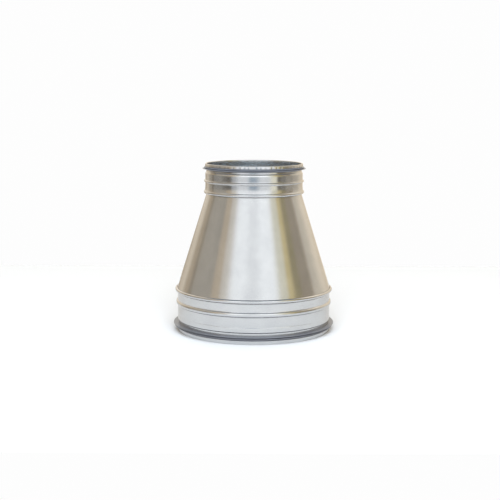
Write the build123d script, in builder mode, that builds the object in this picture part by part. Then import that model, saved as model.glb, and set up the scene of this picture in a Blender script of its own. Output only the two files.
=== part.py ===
from build123d import *
import math
import os
from dataclasses import dataclass

# Concentric duct reducer of galvanised sheet: a rolled cone between two spigots with double lip seals.
# The axis is Z, the large end stands on Z = 0 and the small end points up. All sizes are in millimetres.

# Sheet, fits and the cone
sheet = 0.7  # thickness of the galvanised sheet
seam_gap = 0.1  # room between the two sheets of a lock seam
seal_gap = 0.1  # room between a seal's foot and the channel that grips it
cone_length = 200.5  # from the middle of one lock seam to the middle of the other
crease_radius = 0.4  # bend where the cone leaves a lock seam, on its outer face
neck_length = 12.0  # how far the cone's ends reach into the spigots, from the middle of the seam
fold_radius = 0.4  # inner bend radius of the channel folded at each end
step_run = 2.0  # length of the step from the seal's recess out to the spigot's wall
step_radius = 0.8  # hollow at the foot of that step
weld_width = 4.0  # welded lap along the back of the cone
weld_height = 0.35  # how far the lap stands proud of the cone
weld_margin = 1.5  # distance from the ends of the lap to the seams

# Small end
small_duct = 200.0  # bore of the duct that slides over this end
small_slip = 0.5  # radial clearance of the spigot in that duct
small_recess_depth = 2.2  # how far the seal's recess lies below the wall
small_recess_length = 17.8  # from the end face to the step
small_hem_length = 6.2  # outer leg of the folded channel
small_hem_proud = 0.3  # outer leg over the wall
small_bead_from_end = 35.6  # middle of the stop bead
small_bead_width = 5.2
small_bead_height = 2.5
small_seam_from_end = 57.9  # middle of the lock seam
small_seam_height = 3.0
small_seam_radius = 3.4  # round outer edge of the seam
small_seam_fillet = 5.0  # hollow from the wall into the seam
small_cone_inset = 2.7  # wall radius less the radius where the cone starts
small_seal_length = 12.4
small_lip_start = 0.2  # from the free edge of the folded channel to the first lip
small_lip_pitch = 2.6  # from one lip to the next
small_lip_root = 1.1  # thickness of both lips where they leave the foot
small_lip_tip = 0.6  # and at their tips
small_lip_lean = 0.5  # how far a lip's tip lies behind its root
small_outer_lip_height = 2.8  # lip next to the end, over the wall
small_inner_lip_height = 6.0
small_seal_joint_angle = 90.0  # where the strip's ends meet, about Z from +X
small_seal_joint_gap = 0.5

# Large end, with the same meanings
large_duct = 315.0
large_slip = 0.5
large_recess_depth = 2.4
large_recess_length = 23.0
large_hem_length = 7.3
large_hem_proud = 0.3
large_bead_from_end = 58.8
large_bead_width = 11.6
large_bead_height = 3.2
large_seam_from_end = 85.2
large_seam_height = 5.0
large_seam_radius = 3.8
large_seam_fillet = 4.0
large_cone_inset = -0.4
large_seal_length = 15.4
large_lip_start = 1.9
large_lip_pitch = 3.8
large_lip_root = 1.6
large_lip_tip = 0.9
large_lip_lean = 1.2
large_outer_lip_height = 4.6
large_inner_lip_height = 8.6
large_seal_joint_angle = 243.6
large_seal_joint_gap = 0.8


@dataclass
class End:
    """One end of the reducer, measured along the axis from its end face."""

    name: str
    face: float  # Z of the end face
    inward: int  # +1 where Z grows from the end face into the reducer, otherwise -1
    duct: float
    slip: float
    recess_depth: float
    recess_length: float
    hem_length: float
    hem_proud: float
    bead_from_end: float
    bead_width: float
    bead_height: float
    seam_from_end: float
    seam_height: float
    seam_radius: float
    seam_fillet: float
    cone_inset: float
    seal_length: float
    lip_start: float
    lip_pitch: float
    lip_root: float
    lip_tip: float
    lip_lean: float
    lip_heights: tuple  # over the wall, the lip next to the end first
    joint_angle: float
    joint_gap: float

    def __post_init__(self):
        self.wall = self.duct / 2 - self.slip
        self.recess = self.wall - self.recess_depth
        self.hem = self.wall + self.hem_proud - sheet
        seam_bends = self.seam_fillet + self.seam_radius
        self.seam_angle = math.acos(1 - self.seam_height / seam_bends)
        self.seam_start = self.seam_from_end - seam_bends * math.sin(self.seam_angle)
        self.seam_edge = self.seam_from_end + self.seam_radius
        self.crease = self.wall - self.cone_inset
        self.crease_from_end = self.seam_edge - sheet - seam_gap

    def at(self, radius, from_end):
        """A point of the profile, as radius and Z."""
        return (radius, self.face + self.inward * from_end)

    def bend(self, line, radius, degrees):
        """Continues a line with an arc. A positive angle turns away from the axis."""
        return JernArc(line @ 1, line % 1, radius, -self.inward * degrees)


height = large_seam_from_end + cone_length + small_seam_from_end

small = End(
    "small", height, -1, small_duct, small_slip, small_recess_depth, small_recess_length,
    small_hem_length, small_hem_proud, small_bead_from_end, small_bead_width, small_bead_height,
    small_seam_from_end, small_seam_height, small_seam_radius, small_seam_fillet, small_cone_inset,
    small_seal_length, small_lip_start, small_lip_pitch, small_lip_root, small_lip_tip, small_lip_lean,
    (small_outer_lip_height, small_inner_lip_height), small_seal_joint_angle, small_seal_joint_gap,
)
large = End(
    "large", 0.0, 1, large_duct, large_slip, large_recess_depth, large_recess_length,
    large_hem_length, large_hem_proud, large_bead_from_end, large_bead_width, large_bead_height,
    large_seam_from_end, large_seam_height, large_seam_radius, large_seam_fillet, large_cone_inset,
    large_seal_length, large_lip_start, large_lip_pitch, large_lip_root, large_lip_tip, large_lip_lean,
    (large_outer_lip_height, large_inner_lip_height), large_seal_joint_angle, large_seal_joint_gap,
)

# The cone's outer face runs straight from one crease to the other.
crease_to_crease = height - large.crease_from_end - small.crease_from_end
cone_slope = (large.crease - small.crease) / crease_to_crease


def crease_turn(end):
    """Degrees that the sheet turns through where it leaves a seam and becomes the cone."""
    return 90 - end.inward * math.degrees(math.atan(cone_slope))


def crease_reach(end):
    """Radius at which the crease's bend starts."""
    return end.crease + crease_radius * math.tan(math.radians(crease_turn(end) / 2))


def bead_line(end, line, depth):
    """A rolled bead as three arcs: hollow, crown, hollow."""
    angle = 2 * math.atan2(2 * end.bead_height, end.bead_width)
    radius = end.bead_width / (4 * math.sin(angle))
    degrees = math.degrees(angle)
    rise = end.bend(line, radius + depth, degrees)
    crown = end.bend(rise, radius - depth, -2 * degrees)
    return end.bend(crown, radius + depth, degrees)


def seam_line(end, line, depth):
    """From the wall out and round the edge of the lock seam, until it points at the axis."""
    degrees = math.degrees(end.seam_angle)
    hollow = end.bend(line, end.seam_fillet + depth, degrees)
    return end.bend(hollow, end.seam_radius - depth, -degrees - 90)


def collar_line(end, depth):
    """One face of a spigot's sheet, at a depth below its outer face, from its first to its last point."""
    step_turn = math.atan2(end.recess_depth, step_run)
    step_shift = depth * math.tan(step_turn / 2)
    channel = FilletPolyline(
        end.at(end.hem + depth, end.hem_length),
        end.at(end.hem + depth, sheet - depth),
        end.at(end.recess - depth, sheet - depth),
        end.at(end.recess - depth, end.recess_length - step_run / 2 + step_shift),
        end.at(end.wall - depth, end.recess_length + step_run / 2 + step_shift),
        end.at(end.wall - depth, end.bead_from_end - end.bead_width / 2),
        radius=[fold_radius + depth, fold_radius + depth, step_radius + depth, step_radius + sheet - depth],
    )
    bead = bead_line(end, channel, depth)
    wall = Line(bead @ 1, end.at(end.wall - depth, end.seam_start))
    seam = seam_line(end, wall, depth)
    free_edge = crease_reach(end) + (sheet + seam_gap) * cone_slope + seam_gap
    lip = Line(seam @ 1, end.at(free_edge, end.seam_edge - depth))
    return channel @ 0, lip @ 1


def cone_end_line(end, depth):
    """One face of the cone's sheet, from its free edge inside a spigot to the foot of its slope."""
    neck = Line(
        end.at(end.wall - depth, end.seam_from_end - neck_length),
        end.at(end.wall - depth, end.seam_start),
    )
    seam = seam_line(end, neck, depth)
    inwards = Line(seam @ 1, end.at(crease_reach(end), end.seam_edge - depth))
    crease = end.bend(inwards, crease_radius + depth - sheet - seam_gap, crease_turn(end))
    return neck @ 0, crease @ 1


def make_collar(end):
    """Spigot rolled from one strip: folded channel, seal's recess, stop bead and outer half of the seam."""
    with BuildPart() as collar:
        with BuildSketch(Plane.XZ):
            with BuildLine():
                outside = collar_line(end, 0)
                inside = collar_line(end, sheet)
                for outer_point, inner_point in zip(outside, inside):
                    Line(outer_point, inner_point)
            make_face()
        revolve(axis=Axis.Z)
    collar.part.label = end.name + "_collar"
    return collar.part


def make_cone():
    """Cone rolled from one sheet, with its ends folded into both lock seams and a welded lap at the back."""
    outside = sheet + seam_gap
    with BuildPart() as cone:
        with BuildSketch(Plane.XZ):
            with BuildLine():
                free_edges = []
                for depth in (outside, outside + sheet):
                    foot_edge, foot = cone_end_line(large, depth)
                    head_edge, head = cone_end_line(small, depth)
                    Line(foot, head)
                    free_edges.append((foot_edge, head_edge))
                for outer_point, inner_point in zip(*free_edges):
                    Line(outer_point, inner_point)
            make_face()
        revolve(axis=Axis.Z)
        with BuildSketch(Plane.YZ):
            with BuildLine():
                low = large.crease_from_end + weld_margin
                high = height - small.crease_from_end - weld_margin
                low_radius = large.crease - weld_margin * cone_slope
                high_radius = small.crease + weld_margin * cone_slope
                Polyline(
                    (low_radius - sheet / 2, low),
                    (low_radius + weld_height, low),
                    (high_radius + weld_height, high),
                    (high_radius - sheet / 2, high),
                    close=True,
                )
            make_face()
        extrude(amount=weld_width / 2, both=True)
    cone.part.label = "cone"
    return cone.part


def make_seal(end):
    """Rubber strip with a foot held in the channel and two lips that lean away from the end."""
    foot_inside = end.recess + seal_gap
    foot_outside = end.hem - seal_gap
    foot_start = sheet + fold_radius
    half_joint = end.joint_gap / end.wall / 2
    start = math.radians(end.joint_angle) + half_joint
    across = Vector(math.cos(start), math.sin(start), 0)
    with BuildPart() as seal:
        with BuildSketch(Plane(origin=(0, 0, 0), x_dir=across, z_dir=across.cross(Vector(0, 0, 1)))):
            with BuildLine():
                outline = [end.at(foot_inside, foot_start), end.at(foot_outside, foot_start)]
                for lip, lip_height in enumerate(end.lip_heights):
                    root = end.hem_length + end.lip_start + lip * end.lip_pitch
                    behind = root + end.lip_root
                    tip = behind + end.lip_lean
                    outline.append(end.at(foot_outside, root))
                    outline.append(end.at(end.wall + lip_height, tip - end.lip_tip))
                    outline.append(end.at(end.wall + lip_height, tip))
                    outline.append(end.at(foot_outside, behind))
                outline.append(end.at(foot_outside, end.seal_length))
                outline.append(end.at(foot_inside, end.seal_length))
                Polyline(*outline, close=True)
            make_face()
        revolve(axis=Axis.Z, revolution_arc=360 - math.degrees(2 * half_joint))
    seal.part.label = end.name + "_seal"
    return seal.part


os.makedirs("parts", exist_ok=True)
pieces = [make_cone()]
for spigot in (small, large):
    pieces.append(make_collar(spigot))
    pieces.append(make_seal(spigot))
for piece in pieces:
    export_step(piece, "parts/" + piece.label + ".step")
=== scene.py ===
import math
import random
from dataclasses import dataclass
from typing import NamedTuple

import bpy
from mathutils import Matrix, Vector, noise


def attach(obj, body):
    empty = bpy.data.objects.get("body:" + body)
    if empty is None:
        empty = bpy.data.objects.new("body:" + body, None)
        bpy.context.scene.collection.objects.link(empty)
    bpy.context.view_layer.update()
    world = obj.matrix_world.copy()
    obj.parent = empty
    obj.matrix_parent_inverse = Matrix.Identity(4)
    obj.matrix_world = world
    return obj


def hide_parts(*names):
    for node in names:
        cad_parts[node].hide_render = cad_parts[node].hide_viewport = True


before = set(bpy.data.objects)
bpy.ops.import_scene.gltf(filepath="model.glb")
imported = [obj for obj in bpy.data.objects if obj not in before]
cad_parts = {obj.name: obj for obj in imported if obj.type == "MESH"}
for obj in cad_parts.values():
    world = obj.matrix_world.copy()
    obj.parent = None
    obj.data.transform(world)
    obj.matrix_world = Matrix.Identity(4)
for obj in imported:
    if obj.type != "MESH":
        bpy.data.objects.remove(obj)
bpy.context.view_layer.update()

# A round duct reducer of galvanised sheet with two rubber seals, which stands on its large end.
# Profiles are drawn in millimetres, as radius and Z, and become meshes in metres.
MM = 0.001
BODY = "root"

# Sheet, folds and cone
SHEET = 0.7
SEAM_GAP = 0.1  # between the two sheets of a lock seam
CONE_LENGTH = 200.5  # from seam to seam
CREASE_RADIUS = 0.4  # between a seam and the cone's slope
NECK_LENGTH = 12.0  # reach of the cone's ends into the spigots
FOLD_RADIUS = 0.4  # inside the folds of an end channel

# Weld at the back of the cone
WELD_WIDTH = 4.0
WELD_HEIGHT = 0.35
WELD_SINK = SHEET / 4  # depth of its edges in the sheet
WELD_MARGIN = 1.5  # slope left free at both of its ends
WELD_RIPPLE = 1.6  # from one ripple to the next
WELD_RIPPLE_SHARE = 0.2  # height of a ripple as a share of the weld's
WELD_ROWS_PER_RIPPLE = 4
WELD_COLUMNS = 8
WELD_FLATNESS = 4  # power of its section: 2 is an ellipse, and more is flatter on top

# Marks that rolling and pressing leave in the sheet
BUCKLE_HEIGHT = 0.05
BUCKLE_LENGTH = 48.0
ROLL_LINE_WIDTH = 1.8
ROLL_LINE_DEPTH = 0.2
CRIMP_SHIFT = 0.22  # how far a press mark strays from its place, as a share of the pitch
CRIMP_HALF_WIDTHS = (1.3, 2.4)
CRIMP_DEPTH_SHARES = (0.4, 1.0)
CRIMP_START = 0.5  # share of the channel's outer leg that stays free of marks
HEM_TOLERANCE = 0.01  # slack in telling the points of the channel's outer leg from the others

# Seals
SEAL_GAP = 0.1  # between a seal's foot and the steel round it
FOOT_ROUNDING = 0.3
LIP_ROOT_ROUNDING = 0.5
LIP_EDGE_ROUNDING = 0.35

# Fineness of the meshes
SEGMENTS = 360
FINE_SEGMENTS = 540
ARC_STEP = 12.0  # degrees of a bend between two points
RUN_STEP = 6.0  # millimetres of a straight run between two points
ROUND_STEPS = 4
LONGEST_ROUNDING = 0.45  # share of a side that the rounding of one corner may take
SAME_POINT = 1e-6
SHARP_ANGLE = 40.0


@dataclass
class End:
    """One end of the reducer, with places measured along the axis from its end face."""

    name: str
    face: float  # Z of the end face
    inward: int  # 1 where the reducer lies above the end face, -1 where it lies below
    duct: float  # diameter of the duct that is pushed over the spigot
    recess_depth: float
    recess_length: float  # to the middle of the step up to the wall
    step_run: float
    step_radius: float
    hem_length: float  # outer leg of the folded channel
    bead_from_end: float
    bead_width: float
    bead_height: float
    bead_fillet: float  # hollow on both sides of the stop bead
    seam_from_end: float
    seam_height: float
    seam_radius: float
    seam_fillet: float
    cone_inset: float  # how far inside the wall the cone's slope starts
    seal_length: float
    lip_start: float  # from the free edge of the folded channel to the first lip
    lip_pitch: float
    lip_roots: tuple  # thickness of each lip at its root
    lip_tips: tuple  # thickness of each lip at its edge
    lip_lean: float
    lip_heights: tuple  # reach of each lip over the wall
    joint_angle: float
    joint_gap: float
    crimps: int  # press marks round the free edge of the folded channel
    crimp_depth: float
    roll_lines: tuple  # places of faint lines left by the rolls
    slip: float = 0.5  # how much smaller the wall's radius is than the duct's
    hem_proud: float = 0.3  # how far the folded channel stands out over the wall
    hem_flare: float = 0.0  # how far the free edge of the folded channel stands out further
    neck_rise: float = 0.0  # how far the wall widens before the seam
    neck_angle: float = 5.0

    def __post_init__(self):
        self.wall = self.duct / 2 - self.slip
        self.recess = self.wall - self.recess_depth
        self.hem = self.wall + self.hem_proud - SHEET
        # The seam's hollow fillet and its round meet where the sheet leans out by the seam's angle.
        seam_size = self.seam_fillet + self.seam_radius
        neck = math.radians(self.neck_angle) if self.neck_rise else 0.0
        crown = self.seam_radius + self.seam_fillet * math.cos(neck) - self.seam_height + self.neck_rise
        self.seam_angle = math.acos(crown / seam_size)
        self.seam_turn = self.seam_angle - neck
        self.seam_start = (
            self.seam_from_end - seam_size * math.sin(self.seam_angle) + self.seam_fillet * math.sin(neck)
        )
        self.neck_start = self.seam_start - (self.neck_rise / math.tan(neck) if neck else 0.0)
        self.seam_edge = self.seam_from_end + self.seam_radius
        self.crease = self.wall - self.cone_inset
        self.crease_from_end = self.seam_edge - SHEET - SEAM_GAP

    def at(self, radius, from_end):
        return radius, self.face + self.inward * from_end


SMALL_SEAM_FROM_END = 57.9
LARGE_SEAM_FROM_END = 85.2
HEIGHT = LARGE_SEAM_FROM_END + CONE_LENGTH + SMALL_SEAM_FROM_END

small = End(
    name="small", face=HEIGHT, inward=-1, duct=200.0,
    recess_depth=2.2, recess_length=17.8, step_run=4.2, step_radius=1.2,
    hem_length=5.4, hem_flare=0.5,
    bead_from_end=35.6, bead_width=6.4, bead_height=2.5, bead_fillet=0.8,
    seam_from_end=SMALL_SEAM_FROM_END, seam_height=3.0, seam_radius=3.4, seam_fillet=5.0,
    neck_rise=0.5, cone_inset=2.7,
    seal_length=12.4, lip_start=1.0, lip_pitch=2.6, lip_lean=0.5,
    lip_heights=(2.8, 6.0), lip_roots=(1.1, 1.1), lip_tips=(0.6, 0.6),
    joint_angle=90.0, joint_gap=0.5,
    crimps=57, crimp_depth=1.5, roll_lines=(),
)
large = End(
    name="large", face=0.0, inward=1, duct=315.0,
    recess_depth=2.4, recess_length=23.0, step_run=1.6, step_radius=0.6,
    hem_length=7.3,
    bead_from_end=58.8, bead_width=11.6, bead_height=3.2, bead_fillet=1.2,
    seam_from_end=LARGE_SEAM_FROM_END, seam_height=5.0, seam_radius=3.8, seam_fillet=4.0,
    cone_inset=-0.4,
    seal_length=15.4, lip_start=1.9, lip_pitch=3.8, lip_lean=1.2,
    lip_heights=(6.6, 8.6), lip_roots=(2.2, 1.6), lip_tips=(1.5, 0.9),
    joint_angle=243.6, joint_gap=0.8,
    crimps=60, crimp_depth=0.12, roll_lines=(34.7,),
)
CONE_SLOPE = (large.crease - small.crease) / (HEIGHT - large.crease_from_end - small.crease_from_end)


class Profile:
    """A line in the plane of radius and Z, drawn with straight runs and bends, that knows its heading."""

    def __init__(self, start, heading):
        self.points = [start]
        self.headings = [math.radians(heading)]

    def run(self, end):
        """A straight run to a point, or none where the point is already reached."""
        radius, z = self.points[-1]
        along, up = end[0] - radius, end[1] - z
        length = math.hypot(along, up)
        if length < SAME_POINT:
            return
        heading = math.atan2(up, along)
        pieces = max(1, math.ceil(length / RUN_STEP))
        for piece in range(1, pieces + 1):
            share = piece / pieces
            self.points.append((radius + along * share, z + up * share))
            self.headings.append(heading)

    def bend(self, bend_radius, degrees):
        """An arc that starts along the present heading. A positive angle turns to the left."""
        radius, z = self.points[-1]
        heading = self.headings[-1]
        side = math.copysign(1, degrees)
        centre_radius = radius - side * bend_radius * math.sin(heading)
        centre_z = z + side * bend_radius * math.cos(heading)
        pieces = max(2, math.ceil(abs(degrees) / ARC_STEP))
        for piece in range(1, pieces + 1):
            turned = heading + math.radians(degrees) * piece / pieces
            self.points.append((
                centre_radius + side * bend_radius * math.sin(turned),
                centre_z - side * bend_radius * math.cos(turned),
            ))
            self.headings.append(turned)

    def moved(self, distance):
        """The same line moved sideways, to the left of its heading."""
        return [
            (radius - distance * math.sin(heading), z + distance * math.cos(heading))
            for (radius, z), heading in zip(self.points, self.headings)
        ]


def rounded_end(a, b):
    """Points of a half circle from a to b, without a and b, for the free edge of a sheet."""
    middle = ((a[0] + b[0]) / 2, (a[1] + b[1]) / 2)
    arm = (a[0] - middle[0], a[1] - middle[1])
    points = []
    for step in range(1, ROUND_STEPS):
        angle = math.pi * step / ROUND_STEPS
        points.append((
            middle[0] + arm[0] * math.cos(angle) - arm[1] * math.sin(angle),
            middle[1] + arm[0] * math.sin(angle) + arm[1] * math.cos(angle),
        ))
    return points


def sheet_loop(line, side):
    """Closed outline of a sheet. One face is the line, the other lies to its left (1) or right (-1)."""
    near, far = line.points, line.moved(side * SHEET)
    if side > 0:
        near, far = far, near
    far = far[::-1]
    return near + rounded_end(near[-1], far[0]) + far + rounded_end(far[-1], near[0])


def rounded_outline(corners):
    """Closed outline through corners given as radius, Z and rounding."""
    outline = []
    for index, (radius, z, rounding) in enumerate(corners):
        here = Vector((radius, z))
        before = Vector(corners[index - 1][:2]) - here
        after = Vector(corners[(index + 1) % len(corners)][:2]) - here
        reach = min(rounding, LONGEST_ROUNDING * before.length, LONGEST_ROUNDING * after.length)
        start = here + before.normalized() * reach
        end = here + after.normalized() * reach
        for step in range(ROUND_STEPS + 1):
            share = step / ROUND_STEPS
            point = start * (1 - share) ** 2 + here * 2 * share * (1 - share) + end * share ** 2
            outline.append((point.x, point.y))
    return outline


def lathe(outline, segments=SEGMENTS, start=0.0, turn=360.0, ripple=None):
    """Vertices and faces of an outline turned about Z. ripple(radius, z, angle) moves a point outwards."""
    closed = turn >= 360.0
    stations = segments if closed else segments + 1
    vertices = []
    for station in range(stations):
        angle = math.radians(start + turn * station / segments)
        for radius, z in outline:
            reach = radius + (ripple(radius, z, angle) if ripple else 0.0)
            vertices.append((reach * math.cos(angle) * MM, reach * math.sin(angle) * MM, z * MM))
    count = len(outline)
    faces = []
    for station in range(segments):
        this = station * count
        following = (station + 1) % stations * count
        for point in range(count):
            beside = (point + 1) % count
            faces.append((this + point, following + point, following + beside, this + beside))
    if not closed:
        faces.append(tuple(range(count)))
        faces.append(tuple(reversed(range(segments * count, (segments + 1) * count))))
    return vertices, faces


def make_piece(name, shapes, material, replaced):
    """One smooth mesh object of several shapes, which rides on the only body in place of a CAD node."""
    vertices = []
    faces = []
    for shape_vertices, shape_faces in shapes:
        first = len(vertices)
        vertices.extend(shape_vertices)
        faces.extend(tuple(first + corner for corner in face) for face in shape_faces)
    mesh = bpy.data.meshes.new(name)
    mesh.from_pydata(vertices, [], faces)
    mesh.validate()
    mesh.polygons.foreach_set("use_smooth", [True] * len(mesh.polygons))
    mesh.set_sharp_from_angle(angle=math.radians(SHARP_ANGLE))
    mesh.materials.append(material)
    piece = bpy.data.objects.new(name, mesh)
    bpy.context.scene.collection.objects.link(piece)
    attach(piece, BODY)
    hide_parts(replaced)


def buckle(radius, z, angle):
    """Slight unevenness of the rolled sheet, the same for every sheet at one place."""
    place = Vector((radius * math.cos(angle), radius * math.sin(angle), z))
    return BUCKLE_HEIGHT * noise.noise(place / BUCKLE_LENGTH)


def pressed_hem(end):
    """The unevenness of a spigot, with the marks of the tool that closed its channel over the seal."""
    draw = random.Random(end.crimps)
    pitch = 2 * math.pi / end.crimps
    marks = []
    for index in range(end.crimps):
        middle = (index + draw.uniform(-CRIMP_SHIFT, CRIMP_SHIFT)) * pitch
        half_width = draw.uniform(*CRIMP_HALF_WIDTHS) / end.wall
        marks.append((middle, half_width, end.crimp_depth * draw.uniform(*CRIMP_DEPTH_SHARES)))

    def ripple(radius, z, angle):
        move = buckle(radius, z, angle)
        from_end = (z - end.face) * end.inward
        if radius < end.hem - HEM_TOLERANCE or from_end > end.hem_length + SHEET:
            return move
        share = min(1.0, max(0.0, from_end / end.hem_length))
        dent = 0.0
        for middle, half_width, depth in marks:
            off = (angle - middle + math.pi) % (2 * math.pi) - math.pi
            dent += depth * math.exp(-((off / half_width) ** 2))
        dented = max(0.0, (share - CRIMP_START) / (1 - CRIMP_START))
        return move + end.hem_flare * share - dent * dented

    return ripple


def crease_turn(end):
    """Degrees from the flat under a seam to the cone's slope."""
    return 90 - end.inward * math.degrees(math.atan(CONE_SLOPE))


def crease_reach(end):
    """Radius where the flat under a seam starts to bend into the cone's slope."""
    return end.crease + CREASE_RADIUS * math.tan(math.radians(crease_turn(end) / 2))


def wall_to(line, end, from_end):
    """Continues a spigot's outer face along its wall, with the faint roll lines on the way."""
    reached = (line.points[-1][1] - end.face) * end.inward
    for mark in end.roll_lines:
        if reached < mark < from_end:
            line.run(end.at(end.wall, mark - ROLL_LINE_WIDTH / 2))
            line.run(end.at(end.wall - ROLL_LINE_DEPTH, mark))
            line.run(end.at(end.wall, mark + ROLL_LINE_WIDTH / 2))
    line.run(end.at(end.wall, from_end))


def roll_seam(line, end, depth):
    """Continues a line, at a depth under a spigot's outer face, up its neck and round the rolled seam."""
    out = -end.inward
    line.run(end.at(end.wall + end.neck_rise - depth, end.seam_start))
    line.bend(end.seam_fillet + depth, math.degrees(end.seam_turn) * out)
    line.bend(end.seam_radius - depth, -(math.degrees(end.seam_angle) + 90) * out)


def collar_profile(end):
    """Outer face of a spigot, from the free edge of its folded channel to its free edge at the seam."""
    out = -end.inward  # a bend away from the axis turns this way
    # Folded channel round the seal's foot
    line = Profile(end.at(end.hem, end.hem_length), -90 * end.inward)
    line.run(end.at(end.hem, SHEET + FOLD_RADIUS))
    line.bend(FOLD_RADIUS, 90 * out)
    line.run(end.at(end.recess + FOLD_RADIUS, SHEET))
    line.bend(FOLD_RADIUS, 90 * out)
    # Step from the recess up to the wall
    step_turn = math.degrees(math.atan2(end.recess_depth, end.step_run))
    half_tangent = math.tan(math.radians(step_turn / 2))
    line.run(end.at(end.recess, end.recess_length - end.step_run / 2 - end.step_radius * half_tangent))
    line.bend(end.step_radius, step_turn * out)
    crown_radius = end.step_radius + SHEET
    from_radial = math.radians(90 - step_turn)
    crown_start = crown_radius * half_tangent
    line.run(end.at(
        end.wall - crown_start * math.cos(from_radial),
        end.recess_length + end.step_run / 2 - crown_start * math.sin(from_radial),
    ))
    line.bend(crown_radius, -step_turn * out)
    # Stop bead
    bead_angle = 2 * math.atan2(2 * end.bead_height, end.bead_width)
    bead_radius = end.bead_width / (2 * math.sin(bead_angle)) - end.bead_fillet
    bead_turn = math.degrees(bead_angle)
    wall_to(line, end, end.bead_from_end - end.bead_width / 2)
    line.bend(end.bead_fillet, bead_turn * out)
    line.bend(bead_radius, -2 * bead_turn * out)
    line.bend(end.bead_fillet, bead_turn * out)
    # Seam, which ends against the cone's slope
    wall_to(line, end, end.neck_start)
    roll_seam(line, end, 0.0)
    line.run(end.at(crease_reach(end) + (SHEET + SEAM_GAP) * CONE_SLOPE + SEAM_GAP, end.seam_edge))
    return line


def cone_end_profile(end):
    """Outer face of one end of the cone, from its free edge inside the spigot to the foot of the slope."""
    depth = SHEET + SEAM_GAP
    line = Profile(end.at(end.wall - depth, end.seam_from_end - NECK_LENGTH), 90 * end.inward)
    if end.neck_start > end.seam_from_end - NECK_LENGTH:
        line.run(end.at(end.wall - depth, end.neck_start))
    roll_seam(line, end, depth)
    line.run(end.at(crease_reach(end), end.crease_from_end))
    line.bend(CREASE_RADIUS, -end.inward * crease_turn(end))
    return line


def cone_profile():
    """Outer face of the whole cone, from the large end up to the small end."""
    line = cone_end_profile(large)
    head = cone_end_profile(small)
    line.run(head.points[-1])
    line.points.extend(head.points[-2::-1])
    line.headings.extend(heading + math.pi for heading in head.headings[-2::-1])
    return line


def weld_lap():
    """The welded lap along the back of the cone: a low rounded ridge with the ripple of the weld."""
    low = large.crease_from_end + WELD_MARGIN
    high = HEIGHT - small.crease_from_end - WELD_MARGIN
    low_radius = large.crease - WELD_MARGIN * CONE_SLOPE
    rows = math.ceil((high - low) / WELD_RIPPLE * WELD_ROWS_PER_RIPPLE)
    vertices = []
    faces = []
    for row in range(rows + 1):
        z = low + (high - low) * row / rows
        ripple = 1 + WELD_RIPPLE_SHARE * math.sin(2 * math.pi * (z - low) / WELD_RIPPLE)
        for column in range(WELD_COLUMNS + 1):
            share = 2 * column / WELD_COLUMNS - 1
            bulge = WELD_HEIGHT * ripple * math.sqrt(max(0.0, 1 - share ** WELD_FLATNESS))
            radius = low_radius - (z - low) * CONE_SLOPE - WELD_SINK + bulge
            vertices.append((share * WELD_WIDTH / 2 * MM, radius * MM, z * MM))
    width = WELD_COLUMNS + 1
    for row in range(rows):
        for column in range(WELD_COLUMNS):
            corner = row * width + column
            faces.append((corner, corner + width, corner + width + 1, corner + 1))
    return vertices, faces


def seal_outline(end):
    """Section of a seal: a foot and two lips that lean away from the end."""
    inside = end.recess + SEAL_GAP
    outside = end.hem - SEAL_GAP
    start = SHEET + FOLD_RADIUS
    corners = [end.at(inside, start) + (FOOT_ROUNDING,), end.at(outside, start) + (FOOT_ROUNDING,)]
    for lip, height in enumerate(end.lip_heights):
        tip = end.wall + height
        root = end.hem_length + end.lip_start + lip * end.lip_pitch
        behind = root + end.lip_roots[lip]
        reach = behind + end.lip_lean
        corners.append(end.at(outside, root) + (LIP_ROOT_ROUNDING,))
        corners.append(end.at(tip, reach - end.lip_tips[lip]) + (LIP_EDGE_ROUNDING,))
        corners.append(end.at(tip, reach) + (LIP_EDGE_ROUNDING,))
        corners.append(end.at(outside, behind) + (LIP_ROOT_ROUNDING,))
    corners.append(end.at(outside, end.seal_length) + (FOOT_ROUNDING,))
    corners.append(end.at(inside, end.seal_length) + (FOOT_ROUNDING,))
    outline = rounded_outline(corners)
    return outline[::-1] if end.inward < 0 else outline


def nodes_of(owner):
    """The emptied node tree of a material or a world."""
    owner.use_nodes = True
    tree = owner.node_tree
    tree.nodes.clear()
    return tree


def node(tree, kind, inputs=None, **settings):
    """A node with its settings and inputs. An input that is a socket is linked, any other is a value."""
    made = tree.nodes.new(kind)
    for setting, value in settings.items():
        setattr(made, setting, value)
    for name, value in (inputs or {}).items():
        if isinstance(value, bpy.types.NodeSocket):
            tree.links.new(value, made.inputs[name])
        else:
            made.inputs[name].default_value = value
    return made


def noise_texture(tree, place, scale, detail):
    texture = node(tree, "ShaderNodeTexNoise", {"Vector": place, "Scale": scale, "Detail": detail})
    return texture.outputs["Fac"]


def map_range(tree, value, source=(0.0, 1.0), target=(0.0, 1.0), **settings):
    """A value moved from one range to another."""
    mapped = node(tree, "ShaderNodeMapRange", {
        "Value": value,
        "From Min": source[0], "From Max": source[1],
        "To Min": target[0], "To Max": target[1],
    }, **settings)
    return mapped.outputs["Result"]


def mix(tree, factor, a, b, data_type="RGBA"):
    mixed = node(tree, "ShaderNodeMix", {"Factor": factor, "A": a, "B": b}, data_type=data_type)
    return mixed.outputs["Result"]


def surface(tree, inputs):
    """The shader of a material, with its inputs."""
    shader = node(tree, "ShaderNodeBsdfPrincipled", inputs)
    node(tree, "ShaderNodeOutputMaterial", {"Surface": shader.outputs["BSDF"]})


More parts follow.
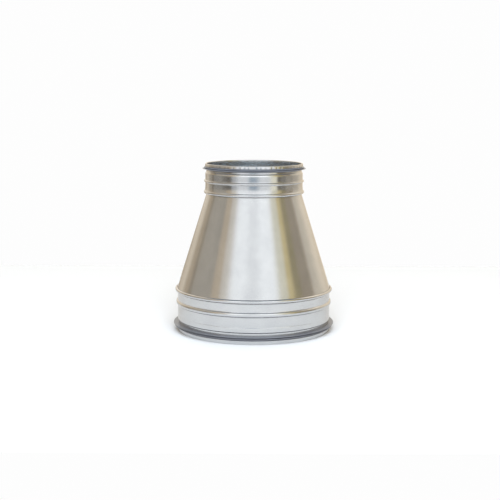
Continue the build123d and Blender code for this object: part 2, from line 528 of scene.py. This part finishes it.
# Galvanised steel
NOISE_RANGE = (0.3, 0.7)  # holds nearly all values of a noise texture
CLOUD_SCALE = 30.0
CLOUD_DETAIL = 5.0
STIPPLE_SCALE = 620.0
STIPPLE_DETAIL = 2.0
STIPPLE_STRETCH = (1.0, 1.0, 0.45)
STIPPLE_SHARE = 0.35  # of the stipple in the colour, beside the clouds
STIPPLE_STRENGTH = 0.06
STIPPLE_DEPTH = 0.0002
STEEL_DARK = (0.505, 0.513, 0.520, 1.0)
STEEL_LIGHT = (0.575, 0.580, 0.583, 1.0)
STEEL_EDGE_TINT = (0.80, 0.77, 0.74, 1.0)
STEEL_ROUGHNESS = (0.115, 0.165)
STEEL_METALLIC = 0.92


def galvanised_steel(name):
    """Bright rolled zinc: a fine stipple, and cloudy patches in its sheen and its colour."""
    material = bpy.data.materials.new(name)
    tree = nodes_of(material)
    place = node(tree, "ShaderNodeTexCoord").outputs["Object"]
    clouds = noise_texture(tree, place, CLOUD_SCALE, CLOUD_DETAIL)
    stretch = node(tree, "ShaderNodeMapping", {"Vector": place, "Scale": STIPPLE_STRETCH})
    stipple = noise_texture(tree, stretch.outputs["Vector"], STIPPLE_SCALE, STIPPLE_DETAIL)
    speckle = mix(tree, STIPPLE_SHARE, clouds, stipple, "FLOAT")
    bump = node(tree, "ShaderNodeBump", {
        "Height": stipple, "Strength": STIPPLE_STRENGTH, "Distance": STIPPLE_DEPTH,
    })
    surface(tree, {
        "Base Color": mix(tree, map_range(tree, speckle, NOISE_RANGE), STEEL_DARK, STEEL_LIGHT),
        "Roughness": map_range(tree, clouds, NOISE_RANGE, STEEL_ROUGHNESS),
        "Metallic": STEEL_METALLIC,
        "Specular Tint": STEEL_EDGE_TINT,
        "Normal": bump.outputs["Normal"],
    })
    return material


# Rubber
BLOOM_SCALE = 60.0
BLOOM_DETAIL = 4.0
RUBBER_DARK = (0.108, 0.113, 0.131, 1.0)
RUBBER_LIGHT = (0.168, 0.175, 0.200, 1.0)
RUBBER_ROUGHNESS = (0.28, 0.42)
RUBBER_SPECULAR = 0.5


def seal_rubber(name):
    """Dark extruded rubber with a satin skin."""
    material = bpy.data.materials.new(name)
    tree = nodes_of(material)
    place = node(tree, "ShaderNodeTexCoord").outputs["Object"]
    bloom = noise_texture(tree, place, BLOOM_SCALE, BLOOM_DETAIL)
    surface(tree, {
        "Base Color": mix(tree, bloom, RUBBER_DARK, RUBBER_LIGHT),
        "Roughness": map_range(tree, bloom, target=RUBBER_ROUGHNESS),
        "Specular IOR Level": RUBBER_SPECULAR,
    })
    return material


def build_reducer():
    steel = galvanised_steel("galvanised_sheet_metal")
    rubber = seal_rubber("seal_rubber")
    sheet = lathe(sheet_loop(cone_profile(), 1), ripple=buckle)
    make_piece("cone_sheet", [sheet, weld_lap()], steel, "cone")
    for end in (small, large):
        loop = sheet_loop(collar_profile(end), end.inward)
        strip = lathe(loop, FINE_SEGMENTS, ripple=pressed_hem(end))
        make_piece(end.name + "_spigot", [strip], steel, end.name + "_collar")
        gap = math.degrees(end.joint_gap / end.wall)
        strip = lathe(seal_outline(end), start=end.joint_angle + gap / 2, turn=360 - gap)
        make_piece(end.name + "_lip_seal", [strip], rubber, end.name + "_seal")


class Card(NamedTuple):
    """A card of the studio, from one azimuth to another. 0 is towards the camera and 90 to its right."""

    start: float
    stop: float
    upper: tuple  # colour well above the horizon
    horizon: tuple  # colour at the horizon


# Tints of the cards, with the strongest channel at 1
COOL_WHITE = (0.96, 0.98, 1.0)
SKY = (0.7, 0.85, 1.0)
IVORY = (1.0, 0.92, 0.8)
CREAM = (1.0, 0.95, 0.75)
BEIGE = (1.0, 0.88, 0.7)
ROSE = (1.0, 0.8, 0.55)
OLIVE = (1.0, 0.8, 0.35)


def lit(tint, level):
    """A tint at a brightness."""
    return tuple(level * channel for channel in tint)


CARDS = (
    # The wall behind, and the dim side on the left with a dark post before it
    Card(-200, -160, lit(IVORY, 1.35), lit(BEIGE, 0.7)),
    Card(-145, -140, lit(BEIGE, 1.05), lit(BEIGE, 0.9)),
    Card(-125, -122, lit(ROSE, 0.6), lit(BEIGE, 0.5)),
    Card(-113, -111, lit(ROSE, 0.4), lit(ROSE, 0.25)),
    Card(-108, -85, lit(BEIGE, 0.5), lit(IVORY, 0.35)),
    Card(-75, -72, lit(BEIGE, 0.45), lit(BEIGE, 0.2)),
    Card(-65, -58, lit(ROSE, 0.65), lit(ROSE, 0.1)),
    Card(-50, -48, lit(IVORY, 0.85), lit(COOL_WHITE, 0.55)),
    # A softbox on each side of the camera, with a gap between them that is cool and dim at the horizon
    Card(-32, -18, lit(COOL_WHITE, 1.4), lit(COOL_WHITE, 1.05)),
    Card(-6, 2, lit(COOL_WHITE, 1.25), lit(SKY, 0.6)),
    Card(18, 32, lit(COOL_WHITE, 1.45), lit(COOL_WHITE, 1.05)),
    Card(47, 52, lit(CREAM, 0.95), lit(CREAM, 1.2)),
    # The dim side on the right, olive towards the camera, and the wall behind again
    Card(59, 62, lit(OLIVE, 0.8), lit(ROSE, 0.1)),
    Card(70, 76, lit(OLIVE, 0.35), lit(BEIGE, 0.25)),
    Card(84, 98, lit(ROSE, 0.4), lit(BEIGE, 0.45)),
    Card(110, 112, lit(BEIGE, 0.8), lit(BEIGE, 0.6)),
    Card(140, 200, lit(BEIGE, 1.2), lit(BEIGE, 1.05)),
)
# Sines of the elevations between which the studio changes from the cards' colours at the horizon to the
# upper ones, to a brighter part high on the cards, and to the ceiling
HORIZON_TO_UPPER = (-0.06, 0.06)
UPPER_TO_GLOW = (0.46, 0.60)
CARDS_TO_CEILING = (0.74, 0.86)
GLOW_GAIN = 1.35
CEILING = (0.24, 0.28, 0.33, 1.0)
BACKDROP = (0.985, 0.985, 0.985, 1.0)


def card_ramp(tree, around, colours):
    """One colour for each card, blended from card to card round the horizon."""
    ramp = node(tree, "ShaderNodeValToRGB", {"Fac": around})
    ramp.color_ramp.interpolation = "EASE"
    stops = ramp.color_ramp.elements
    while len(stops) > 1:
        stops.remove(stops[-1])
    placed = []
    for card, colour in zip(CARDS, colours):
        for azimuth in (card.start, card.stop):
            if -180 <= azimuth <= 180:
                placed.append((azimuth / 360 + 0.5, colour + (1.0,)))
    stops[0].position, stops[0].color = placed[0]
    for position, colour in placed[1:]:
        stops.new(position).color = colour
    return ramp.outputs["Color"]


def rise(tree, value, limits):
    """A soft step from 0 to 1 between two limits."""
    return map_range(tree, value, limits, interpolation_type="SMOOTHSTEP")


def build_world():
    """The studio that the steel mirrors. The camera itself sees a plain backdrop in its place."""
    scene = bpy.context.scene
    scene.view_settings.view_transform = "Standard"
    world = bpy.data.worlds.new("studio")
    scene.world = world
    tree = nodes_of(world)
    direction = node(tree, "ShaderNodeTexCoord").outputs["Generated"]
    parts = node(tree, "ShaderNodeSeparateXYZ", {"Vector": direction})
    right, back, up = (parts.outputs[axis] for axis in "XYZ")
    forward = node(tree, "ShaderNodeMath", {0: back, 1: -1.0}, operation="MULTIPLY")
    azimuth = node(tree, "ShaderNodeMath", {0: right, 1: forward.outputs["Value"]}, operation="ARCTAN2")
    around = map_range(tree, azimuth.outputs["Value"], (-math.pi, math.pi))
    cards = mix(
        tree, rise(tree, up, HORIZON_TO_UPPER),
        card_ramp(tree, around, [card.horizon for card in CARDS]),
        card_ramp(tree, around, [card.upper for card in CARDS]),
    )
    glow = map_range(tree, rise(tree, up, UPPER_TO_GLOW), target=(1.0, GLOW_GAIN))
    glowing = node(tree, "ShaderNodeVectorMath", {0: cards, "Scale": glow}, operation="SCALE")
    room = mix(tree, rise(tree, up, CARDS_TO_CEILING), glowing.outputs["Vector"], CEILING)
    mirrored = node(tree, "ShaderNodeBackground", {"Color": room})
    backdrop = node(tree, "ShaderNodeBackground", {"Color": BACKDROP})
    both = node(tree, "ShaderNodeMixShader", {
        "Fac": node(tree, "ShaderNodeLightPath").outputs["Is Camera Ray"],
        1: mirrored.outputs["Background"],
        2: backdrop.outputs["Background"],
    })
    node(tree, "ShaderNodeOutputWorld", {"Surface": both.outputs["Shader"]})


# Floor, in metres
FLOOR_HALF = 0.8  # half of its side
FLOOR_COLOUR = (0.735, 0.732, 0.735, 1.0)
FLOOR_ROUGHNESS = 0.8


def build_floor():
    mesh = bpy.data.meshes.new("floor")
    corners = [(-1, -1), (1, -1), (1, 1), (-1, 1)]
    mesh.from_pydata([(x * FLOOR_HALF, y * FLOOR_HALF, 0.0) for x, y in corners], [], [(0, 1, 2, 3)])
    paper = bpy.data.materials.new("floor_paper")
    surface(nodes_of(paper), {"Base Color": FLOOR_COLOUR, "Roughness": FLOOR_ROUGHNESS})
    mesh.materials.append(paper)
    floor = bpy.data.objects.new("floor", mesh)
    bpy.context.scene.collection.objects.link(floor)


def add_lamp(name, kind, place, tilt, **settings):
    """A lamp that the steel doesn't mirror. It points down, or tilted towards the back by some degrees."""
    light = bpy.data.lights.new(name, kind)
    for setting, value in settings.items():
        setattr(light, setting, value)
    lamp = bpy.data.objects.new(name, light)
    lamp.location = place
    lamp.rotation_euler = (math.radians(tilt), 0.0, 0.0)
    lamp.visible_glossy = False
    bpy.context.scene.collection.objects.link(lamp)


def build_lamps():
    """The lamps, with places in metres and tilts in degrees."""
    add_lamp(
        "overhead_light", "SUN", place=(0.0, -1.8, 3.0), tilt=31.0,
        angle=math.radians(56), color=(0.86, 0.98, 1.10), energy=1.5,
    )
    add_lamp(
        "opening_light", "SPOT", place=(0.0, 0.0, 2.0), tilt=0.0,
        energy=1300.0, color=(0.60, 0.84, 1.02),
        spot_size=math.radians(6.2), spot_blend=0.3, shadow_soft_size=0.02,
    )
    add_lamp(
        "front_softbox", "AREA", place=(0.0, -2.0, 1.7), tilt=46.6,
        size=1.4, energy=46.0, color=(0.90, 0.98, 1.08),
    )


# Camera, from the photograph's perspective: metres and degrees, with lens and sensor in millimetres
CAMERA_PLACE = (-0.00772, -2.29364, 0.50602)
CAMERA_PITCH = 8.4782
CAMERA_ROLL = 0.2
CAMERA_LENS = 80.838
CAMERA_SENSOR = 36.0


def build_camera():
    data = bpy.data.cameras.new("camera")
    data.lens = CAMERA_LENS
    data.sensor_width = CAMERA_SENSOR
    camera = bpy.data.objects.new("camera", data)
    camera.location = CAMERA_PLACE
    camera.rotation_mode = "ZYX"  # rolls about its own line of sight first
    camera.rotation_euler = (math.radians(90 - CAMERA_PITCH), 0.0, math.radians(CAMERA_ROLL))
    bpy.context.scene.collection.objects.link(camera)
    bpy.context.scene.camera = camera


build_reducer()
build_world()
build_floor()
build_lamps()
build_camera()
